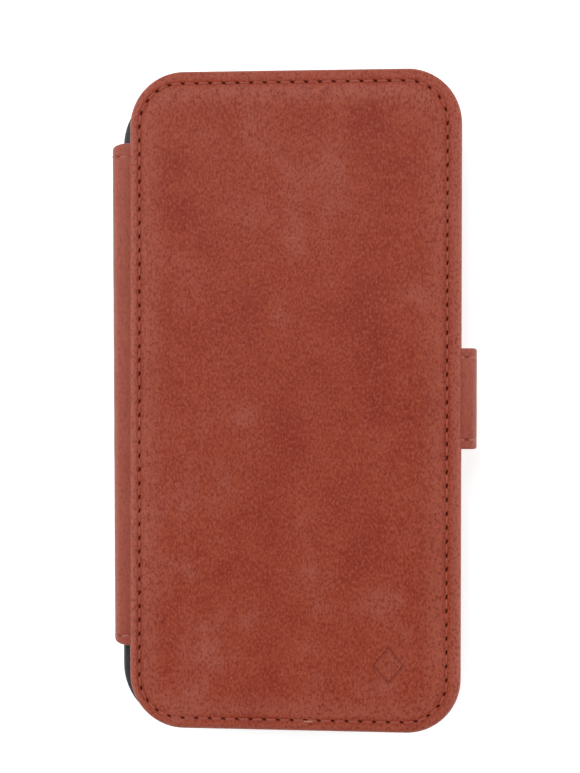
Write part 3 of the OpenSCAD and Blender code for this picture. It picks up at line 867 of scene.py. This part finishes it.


class Strap:
    """Leather strap that follows a path in X and Z and runs from y0 to y1.

    Its face lies to the left of the path. taper gives how far each edge draws in, and thin gives the
    share of its thickness, both from the length along the path. skew leans the strap in X, in step with
    Y, as far as it lies beyond the cover's left edge."""

    def __init__(self, path, y0, y1, half, seams=(), taper=None, thin=None, skew=0.0):
        self.path, self.y0, self.y1, self.half, self.skew = path, y0, y1, half, skew
        step = np.diff(path, axis=0)
        self.run = np.concatenate([[0], np.cumsum(np.linalg.norm(step, axis=1))])
        ahead = np.gradient(path, self.run, axis=0)
        ahead /= np.linalg.norm(ahead, axis=1)[:, None]
        self.out = np.column_stack([-ahead[:, 1], ahead[:, 0]])
        self.seams = [self.dense(seam) for seam in seams]
        self.taper = taper or (lambda s: np.zeros_like(s))
        self.thin = thin or (lambda s: np.ones_like(s))

    @staticmethod
    def dense(seam):
        """A seam's corners, as lengths along the path and Y, filled in with points."""
        seam = np.array(seam, float)
        run = np.concatenate([[0], np.cumsum(np.linalg.norm(np.diff(seam, axis=0), axis=1))])
        even = np.linspace(0, run[-1], max(2, round(run[-1] / 0.1)))
        return np.column_stack([even, np.interp(even, run, seam[:, 0]), np.interp(even, run, seam[:, 1])])

    def at(self, s, y, height):
        """Points at a length along the path, at y and at a height over the middle of the leather."""
        x, z = (np.interp(s, self.run, self.path[:, k]) for k in (0, 1))
        nx, nz = (np.interp(s, self.run, self.out[:, k]) for k in (0, 1))
        lean = self.skew * y * np.clip((OUTLINE.x0 - x) / LEAN_WIDTH, 0, 1)
        return np.column_stack([x + nx * height + lean, y, z + nz * height])

    def sewn(self, s, y):
        """How deep the seams pull the face in, and how far a point is in a needle hole."""
        dip, hole = np.zeros(len(s)), np.zeros(len(s))
        for seam in self.seams:
            gap = np.hypot(s[:, None] - seam[None, :, 1], y[:, None] - seam[None, :, 2])
            dip = np.maximum(dip, GROOVE[1] * np.exp(-((gap.min(1) / GROOVE[0]) ** 2)))
            count = max(1, round(seam[-1, 0] / STITCH))
            spots = np.linspace(0, seam[-1, 0], count + 1)
            away = seam[gap.argmin(1), 0][:, None] - spots[None, :]
            near = np.take_along_axis(away, np.abs(away).argmin(1)[:, None], 1)[:, 0]
            hole = np.maximum(hole, needle_mark(near, gap.min(1)))
        return dip + HOLE_DEPTH * 0.8 * hole, hole

    def stations(self):
        """Places across the strap, closer together near the seams that run along it."""
        wide = np.linspace(self.y0 + self.half, self.y1 - self.half, 24 + round((self.y1 - self.y0) / 0.8))
        spread = np.arange(-0.9, 0.95, 0.15)
        near = [seam[end, 2] + d for seam in self.seams for end in (0, -1) for d in spread]
        both = np.unique(np.round(np.concatenate([wide, near]), 3))
        return both[(both >= wide[0]) & (both <= wide[-1])]

    @staticmethod
    def on_seam(seam, run):
        """The length along the path and the Y of a seam, at lengths along the seam."""
        return np.interp(run, seam[:, 0], seam[:, 1]), np.interp(run, seam[:, 0], seam[:, 2])

    def mesh(self, name, material):
        y = self.stations()
        middle, half_w = (self.y0 + self.y1) / 2, (self.y1 - self.y0) / 2
        turn = np.linspace(0, math.pi, 8)[1:-1]
        bulge = self.half * np.sin(turn)
        upper, lower = self.y1 - self.half + bulge, self.y0 + self.half - bulge
        across = np.concatenate([y, upper, y[::-1], lower])
        height = np.concatenate(
            [np.full(len(y), 1.0), np.cos(turn), np.full(len(y), -1.0), -np.cos(turn)]
        )
        rows, holes, edge_lights_and_wear, folds = [], [], [], []
        for s in self.run:
            keep = 1 - float(self.taper(np.array([s]))[0]) / half_w
            here = middle + (across - middle) * keep
            along = np.full(len(here), s)
            sink, hole = self.sewn(along, here)
            top = (height > 0.99).astype(float)
            flat = self.at(along, here, height * 0)
            wavy = STRAP_WAVE * fine_noise(flat, 7, 4.0) * top
            thick = float(self.thin(np.array([s]))[0])
            rows.append(self.at(along, here, height * self.half * thick - top * sink + wavy))
            # the straps' needle holes get a weaker painted shade
            holes.append(STRAP_HOLE_SHADE * hole * top)
            # painted highlight and wear along the strap's edges
            edge = np.minimum(np.abs(across - self.y0), np.abs(self.y1 - across))
            edge_lights_and_wear.append(STRAP_EDGE_HIGHLIGHT_AND_WEAR[0] * (1 - ease(edge / STRAP_EDGE_HIGHLIGHT_AND_WEAR[1])))
            # painted sheen: greyer where the strap's face turns sideways at its outer bend
            turned = abs(float(np.interp(s, self.run, self.out[:, 0])))
            bent = ease((turned - 0.25) / 0.5) * (1 - ease((turned - 0.86) / 0.08))
            folds.append(np.full(len(here), 0.85 * bent))
        n = len(across)
        faces = [quad[::-1] for quad in loft_faces(len(rows), n)]
        faces.append(list(range(n)))
        faces.append([(len(rows) - 1) * n + v for v in range(n)][::-1])
        marks = {"hole": holes, "wear": edge_lights_and_wear, "fold": folds}
        marks = {key: np.concatenate(values) for key, values in marks.items()}
        piece = make(name, np.vstack(rows), faces, material, marks)
        for cap in piece.data.polygons[-2:]:
            cap.use_smooth = False  # so that two straps that meet end to end shade as one
        return piece

    def thread(self, name):
        """The strap's seams as threads lying on its face."""
        parts = []
        for seam in self.seams:
            runs, count = stitch_places(seam[-1, 0], STITCH)
            flat = runs.ravel()
            s, y = self.on_seam(seam, flat)
            lift = np.tile(thread_lift(runs.shape[1]), count)
            base = self.half - GROOVE[1] - 0.04
            here = self.at(s, y, base + lift)
            ups = self.at(s, y, base + 1.0) - self.at(s, y, base)
            beyond = self.at(*self.on_seam(seam, flat + TANGENT), base)
            ahead = beyond - self.at(*self.on_seam(seam, flat - TANGENT), base)
            ahead /= np.linalg.norm(ahead, axis=1)[:, None]
            shape = runs.shape + (3,)
            parts.append([a.reshape(shape) for a in (here, np.cross(ahead, ups), ups)])
        return threads(name, *joined(parts), STRAP_THREAD)


def place_piece(piece, body, slot, *nodes):
    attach(piece, body)
    finish_piece(piece, slot, *nodes)


def bend_piece(piece, bodies, ends, slot, *nodes):
    """A piece between two bodies, from one point in X and Z to another: its transform is baked and the CAD
    nodes it replaces are hidden, but it is not made to bend. bodies and ends are not used.
    """
    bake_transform(piece)
    finish_piece(piece, slot, *nodes)


def finish_piece(piece, slot, *nodes):
    if nodes:
        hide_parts(*nodes)


# ---- front cover ----

skin = cover_skin()
place_piece(skin, "front_cover", "cover_leather", "cover_leather")

outside = with_backtack(seam_run(RIM_Z - GROOVE[1] + 0.02, 1))
inside = seam_run(inside_face, -1)
raw = np.zeros(len(outside[0]) + len(inside[0]))
raw[len(outside[0]) - 1] = 1.0
seam = threads("front_cover_seam", *joined((outside, inside)), THREAD, raw)
place_piece(seam, "front_cover", "thread", "cover_stitching")

LINING_LOW, LINING_HIGH = box_mm("cover_lining")
lining = plate(
    "front_cover_lining", Rect.of_node("cover_lining", COVER_R - LINING_INSET),
    LINING_LOW[2], LINING_HIGH[2], LINING_LEATHER, waves=0.05,
)
place_piece(lining, "front_cover", "lining_leather", "cover_lining")

for node, (low, high) in zip(PANELS, PANEL_BOXES):
    panel = plate(
        node + "_leather", Rect(low[0], low[1], high[0], high[1], POCKET_R, 0.8), low[2], high[2] - 0.02,
        POCKET_LEATHER, crease=0.12, waves=0.02,
    )
    place_piece(panel, "front_cover", "pocket_leather", node)


def pocket_seams():
    """The cross seams at both ends of the card pockets, on each pocket's bare strip."""
    low, high = box_mm("pocket_stitching")
    parts = []
    edges = [box[0][0] for box in PANEL_BOXES[1:]] + [high[0]]
    for y in (low[1] + THREAD_W / 2, high[1] - THREAD_W / 2):
        for (box_low, _), right in zip(PANEL_BOXES[1:], edges[1:]):
            left = box_low[0] + 0.7
            runs, count = stitch_places(right - left - 0.3, STITCH)
            flat = left + runs.ravel()
            z = box_low[2] - np.tile(thread_lift(runs.shape[1]), count)
            shape = runs.shape + (3,)
            here = np.column_stack([flat, np.full(len(flat), y), z]).reshape(shape)
            sides, ups = (np.broadcast_to(way, shape) for way in ((0.0, 1.0, 0.0), (0.0, 0.0, -1.0)))
            parts.append((here, sides, ups))
    return threads("pocket_seams", *joined(parts), THREAD)


place_piece(pocket_seams(), "front_cover", "thread", "pocket_stitching")

# ---- tray ----

SURROUND_R, BACK_R, NAP_R = 10.0, 12.6, 11.35  # corner radii in the tray
SURROUND_RECT = Rect.of_node("camera_surround", SURROUND_R)
BACK_LOW, BACK_HIGH = box_mm("back_leather")
back = holed_plate(
    "back_cover_leather", Rect.of_node("back_leather", BACK_R), SURROUND_RECT.inset(-0.3),
    BACK_LOW[2], BACK_HIGH[2], BACK_LEATHER, rounding=0.45, waves=0.02,
)
place_piece(back, "tray", "back_leather", "back_leather")

NAP_LOW, NAP_HIGH = box_mm("tray_lining")
NAP_RECT = Rect.of_node("tray_lining", NAP_R)
NAP_WINDOW = SURROUND_RECT.inset(1.05)
nap = holed_plate(
    "tray_microfibre", NAP_RECT, NAP_WINDOW, NAP_LOW[2], NAP_HIGH[2], NAP, rounding=0.15
)
place_piece(nap, "tray", "microfibre", "tray_lining")
NAP_AREA = float(NAP_RECT.area() - NAP_WINDOW.area()) * MM**2

# ---- spine ----

SPINE_LOW, SPINE_HIGH = box_mm("spine_leather")
LINING_GAP = 0.65  # from the middle of the spine's leather to the middle of its lining
SPINE_HALF, SPINE_LINING_HALF = 0.4, 0.25
SIDE_X = SPINE_LOW[0] + SPINE_HALF
MID_Z = (SPINE_LOW[2] + SPINE_HIGH[2]) / 2
HEM_Z = COVER_LOW[2] + 1.0  # where the spine goes in under the cover's leather
SPINE_SEAMS = (SPINE_HIGH[1] - 3.2, SPINE_LOW[1] + 2.3)
SPINE_SKEW = -0.005  # the spine's outer edge leans out towards its top end
SPINE_ROUND = (3.6, 1.5)  # from this far inside its outer edge, the spine's ends round off by this much

UPPER = [
    (SIDE_X, MID_Z), (SIDE_X, HEM_Z - 3.6), (SIDE_X, HEM_Z + 0.1), (OUTLINE.x0 - 0.9, HEM_Z),
    (OUTLINE.x0 + 0.7, HEM_Z - 0.1),
]
LOWER = [(BACK_LOW[0] + 0.8, 0.6), (BACK_LOW[0] - 0.6, 0.56), (SIDE_X, 0.5), (SIDE_X, 4.2), (SIDE_X, MID_Z)]


def spine_strap(corners, half, seam_start=None):
    """A strap of the spine, whose ends round off towards its outer edge."""
    path = eased_path(corners)
    run = np.concatenate([[0], np.cumsum(np.linalg.norm(np.diff(path, axis=0), axis=1))])

    def taper(s):
        out = np.clip((SIDE_X + SPINE_ROUND[0] - np.interp(s, run, path[:, 0])) / SPINE_ROUND[0], 0, 1)
        return SPINE_ROUND[1] * (1 - np.sqrt(1 - out**2))

    seams = () if seam_start is None else [((seam_start, y), (run[-1] - 0.2, y)) for y in SPINE_SEAMS]
    return Strap(path, SPINE_LOW[1], SPINE_HIGH[1], half, seams, taper, skew=SPINE_SKEW)


def moved_in(corners, gap):
    """The same polygon moved in towards the case by a gap."""
    return [
        (x + gap if abs(x - SIDE_X) < 0.01 else x, z + gap if z < 1.0 else z - gap * (z > HEM_Z - 0.5))
        for x, z in corners
    ]


# the upper bend is set to start above the tray's rim, so that the lining would clear the rim as the cover
# opens; bend_piece doesn't use these ends
SPINE_UP = (("spine", "front_cover"), ((SIDE_X, HEM_Z - 3.2), (OUTLINE.x0 - 0.2, HEM_Z)))
SPINE_DOWN = (("tray", "spine"), ((BACK_LOW[0] - 0.3, 0.5), (SIDE_X, 5.5)))
for name, corners, bend, seam_start in (
    ("upper", UPPER, SPINE_UP, 0.2),
    ("lower", LOWER, SPINE_DOWN, 4.6),
):
    strap = spine_strap(corners, SPINE_HALF, seam_start)
    skin_piece = strap.mesh("spine_leather_" + name, STRAP_LEATHER_PAINTED_SHEEN)
    bend_piece(skin_piece, *bend, "spine_leather", "spine_leather")
    bend_piece(strap.thread("spine_seams_" + name), *bend, "thread", "spine_stitching")
    inner = spine_strap(moved_in(corners, LINING_GAP), SPINE_LINING_HALF)
    lining_piece = inner.mesh("spine_lining_" + name, LINING_LEATHER)
    bend_piece(lining_piece, *bend, "lining_leather", "spine_lining")

# ---- closing tab ----

TAB_LOW, TAB_HIGH = box_mm("tab_leather")
TAB_HALF, TAB_LINING_HALF = 0.65, 0.25
TAB_SEAM = (2.1, 2.2, 1.6)  # insets of the seam at the tab's top edge, bottom edge and free end
TAB_CORNER = 3.0
TAB_TUCK = 2.05  # length of the tab inside the cover's edge
TAB_LEAN = 18.5  # degrees that the closed tab leans in to the tray
TAB_BEND_END = (42.0, 11.5)  # X and Z at which the tab's bend ends
TAB_FOOT = (TAB_LOW[0] + 0.62, TAB_LOW[2] + 0.2)  # middle of the leather at the tab's free end


def tab_corners(gap):
    """Polygon that the tab follows, moved in by a gap: out of the cover, round the bend and down."""
    hem = COVER_LOW[2] + 1.2
    lean = math.radians(TAB_LEAN)
    down, inward = (-math.sin(lean), -math.cos(lean)), (-math.cos(lean), math.sin(lean))
    foot = [
        [TAB_FOOT[k] - down[k] * back + inward[k] * gap for k in (0, 1)] for back in (8.4, 4.0, 0.0)
    ]
    bend = (TAB_HIGH[0] - 0.05 - gap * 1.1, hem - gap * 0.9)
    return [(OUTLINE.x1 - TAB_TUCK, hem - gap), (OUTLINE.x1 + 0.4, hem - gap), bend] + foot


def tab_strap(gap, half, sewn):
    path = eased_path(tab_corners(gap), 0.25)
    length = np.linalg.norm(np.diff(path, axis=0), axis=1).sum()
    seam = ()
    if sewn:
        end = length - TAB_SEAM[2]
        top, bottom = TAB_HIGH[1] - TAB_SEAM[0], TAB_LOW[1] + TAB_SEAM[1]
        seam = (((0.0, top), (end, top), (end, bottom), (0.0, bottom)),)

    def taper(s):
        left = np.clip(TAB_CORNER - (length - s), 0, TAB_CORNER)
        return TAB_CORNER - np.sqrt(TAB_CORNER**2 - left**2)

    def thin(s):
        left = np.clip(1 - (length - s) / 0.5, 0, 1)
        return np.sqrt(1 - 0.9 * left**2)

    return Strap(path, TAB_LOW[1], TAB_HIGH[1], half, seam, taper, thin)


TAB_BEND = (("front_cover", "closing_tab"), ((OUTLINE.x1 + 0.1, COVER_LOW[2] + 1.3), TAB_BEND_END))
tab = tab_strap(0.0, TAB_HALF, True)
bend_piece(tab.mesh("closing_tab_leather", STRAP_LEATHER_PAINTED_SHEEN), *TAB_BEND, "tab_leather", "tab_leather")
bend_piece(tab.thread("closing_tab_seam"), *TAB_BEND, "thread", "tab_stitching")
tab_inside = tab_strap(TAB_HALF + TAB_LINING_HALF, TAB_LINING_HALF, False)
bend_piece(tab_inside.mesh("closing_tab_lining", LINING_LEATHER), *TAB_BEND, "lining_leather", "tab_lining")


# ==== camera, light and floor ====


def add_camera():
    data = bpy.data.cameras.new("camera")
    data.sensor_fit = "VERTICAL"
    data.sensor_height = 24
    data.lens = LENS_TO_SENSOR * data.sensor_height
    data.clip_start, data.clip_end = 0.01, 20
    camera = bpy.data.objects.new("camera", data)
    bpy.context.scene.collection.objects.link(camera)
    yaw, pitch, roll = (math.radians(a) for a in (CAMERA_YAW, CAMERA_PITCH, CAMERA_ROLL))
    turn = (
        Matrix.Rotation(roll, 4, "Z") @ Matrix.Rotation(pitch, 4, "X") @ Matrix.Rotation(yaw, 4, "Y")
    )
    at = [(c + d) * MM for c, d in zip((COVER_X, COVER_Y, 0), CAMERA_AT)]
    camera.matrix_world = Matrix.Translation(at) @ turn.transposed()
    bpy.context.scene.camera = camera


def add_light(name, at, size, power):
    data = bpy.data.lights.new(name, "AREA")
    data.shape = "DISK"
    data.size, data.energy = size, power
    light = bpy.data.objects.new(name, data)
    bpy.context.scene.collection.objects.link(light)
    light.location = at
    light.rotation_euler = (-light.location).to_track_quat("-Z", "Y").to_euler()


FLOOR_HALF, FLOOR_Z = 3.0, -0.0003  # metres


def add_floor():
    mesh = bpy.data.meshes.new("floor")
    corners = [
        (x * FLOOR_HALF, y * FLOOR_HALF, FLOOR_Z) for x, y in ((-1, -1), (1, -1), (1, 1), (-1, 1))
    ]
    mesh.from_pydata(corners, [], [(0, 1, 2, 3)])
    s = Shader("floor_white")
    s.set(
        Base_Color=(0.92, 0.92, 0.92, 1),
        Roughness=0.9,
        Specular_IOR_Level=0.1,
        Emission_Color=(1, 1, 1, 1),
        Emission_Strength=0.5,
    )
    mesh.materials.append(s.material)
    floor = bpy.data.objects.new("floor", mesh)
    bpy.context.scene.collection.objects.link(floor)


def add_world():
    world = bpy.data.worlds.new("studio")
    bpy.context.scene.world = world
    world.use_nodes = True
    world.node_tree.nodes["Background"].inputs["Color"].default_value = (1, 1, 1, 1)
    world.node_tree.nodes["Background"].inputs["Strength"].default_value = 0.45


add_camera()
add_world()
add_floor()
add_light("top", (-0.25, 0.6, 1.1), 0.7, 5.6)
add_light("left", (-0.95, 0.05, 0.5), 0.8, 5.0)
add_light("right", (0.95, 0.05, 0.5), 0.8, 5.0)
bpy.context.scene.view_settings.view_transform = "Standard"
